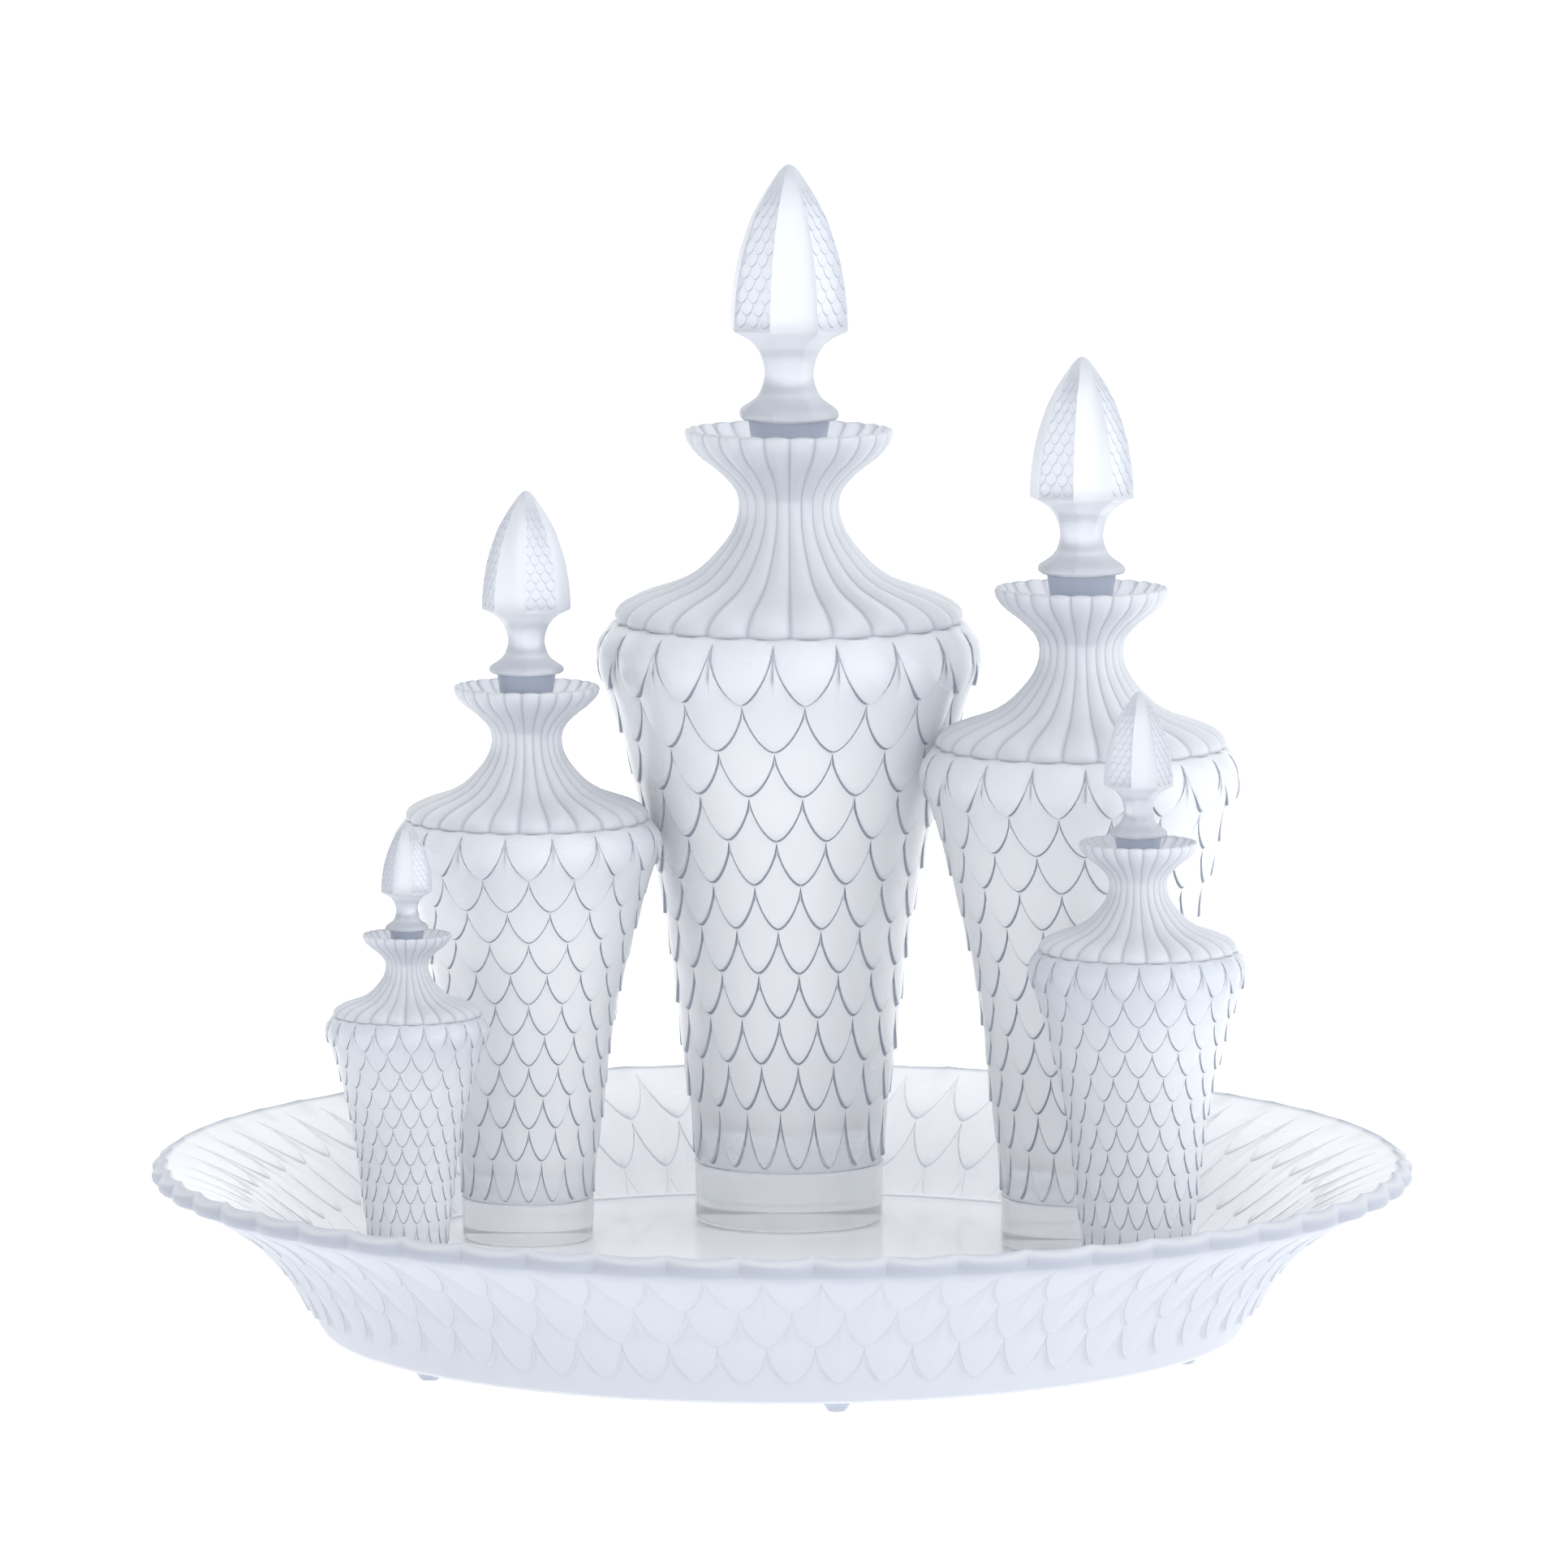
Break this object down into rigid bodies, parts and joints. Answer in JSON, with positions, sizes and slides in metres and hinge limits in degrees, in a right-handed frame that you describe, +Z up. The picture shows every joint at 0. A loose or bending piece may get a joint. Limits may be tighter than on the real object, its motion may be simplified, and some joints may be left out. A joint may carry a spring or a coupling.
{
  "type": "stoppered perfume bottle set on a tray",
  "caption": "Graduated flared perfume bottles in satin crystal with scale relief and faceted ground stoppers, standing on a round scalloped crystal tray on small pads.",
  "frame": {"origin": "the middle of the tray at the height its pads stand on", "axes": "+Z up, -Y towards the front of the set, +X to its right"},
  "size_m": [0.4, 0.4, 0.366],
  "materials": {
    "tray_crystal": "satin-frosted outside, clear inside with a polished floor",
    "bottle_crystal": "satin relief, frosted shoulder and lip, polished clear base",
    "stopper_crystal": "satin-frosted facets, polished clear plug",
    "foot_pad": "clear soft plastic, satin"
  },
  "bodies": {
    "tray": {"tray": "tray_crystal", "tray_foot_1": "foot_pad", "tray_foot_2": "foot_pad", "tray_foot_3": "foot_pad", "tray_foot_4": "foot_pad", "tray_foot_5": "foot_pad", "tray_foot_6": "foot_pad"},
    "bottle_xl": {"bottle_xl": "bottle_crystal"},
    "bottle_l": {"bottle_l": "bottle_crystal"},
    "bottle_m": {"bottle_m": "bottle_crystal"},
    "bottle_s": {"bottle_s": "bottle_crystal"},
    "bottle_xs": {"bottle_xs": "bottle_crystal"},
    "stopper_xl": {"stopper_xl": "stopper_crystal"},
    "stopper_l": {"stopper_l": "stopper_crystal"},
    "stopper_m": {"stopper_m": "stopper_crystal"},
    "stopper_s": {"stopper_s": "stopper_crystal"},
    "stopper_xs": {"stopper_xs": "stopper_crystal"}
  },
  "joints": [
    {"name": "bottle_xl_lift", "type": "slide", "parent": "tray", "child": "bottle_xl", "axis": [0, 0, 1], "range_m": [0, 0.048]},
    {"name": "bottle_l_lift", "type": "slide", "parent": "tray", "child": "bottle_l", "axis": [0.2913, -0.1561, 0.9438], "range_m": [0, 0.05]},
    {"name": "bottle_m_lift", "type": "slide", "parent": "tray", "child": "bottle_m", "axis": [-0.3043, -0.1283, 0.9439], "range_m": [0, 0.05]},
    {"name": "bottle_s_lift", "type": "slide", "parent": "tray", "child": "bottle_s", "axis": [0, 0, 1], "range_m": [0, 0.048]},
    {"name": "bottle_xs_lift", "type": "slide", "parent": "tray", "child": "bottle_xs", "axis": [0, 0, 1], "range_m": [0, 0.048]},
    {"name": "stopper_xl_pull", "type": "slide", "parent": "bottle_xl", "child": "stopper_xl", "axis": [0, 0, 1], "range_m": [0, 0.03]},
    {"name": "stopper_l_pull", "type": "slide", "parent": "bottle_l", "child": "stopper_l", "axis": [0, 0, 1], "range_m": [0, 0.026]},
    {"name": "stopper_m_pull", "type": "slide", "parent": "bottle_m", "child": "stopper_m", "axis": [0, 0, 1], "range_m": [0, 0.022]},
    {"name": "stopper_s_pull", "type": "slide", "parent": "bottle_s", "child": "stopper_s", "axis": [0, 0, 1], "range_m": [0, 0.018]},
    {"name": "stopper_xs_pull", "type": "slide", "parent": "bottle_xs", "child": "stopper_xs", "axis": [0, 0, 1], "range_m": [0, 0.014]}
  ]
}
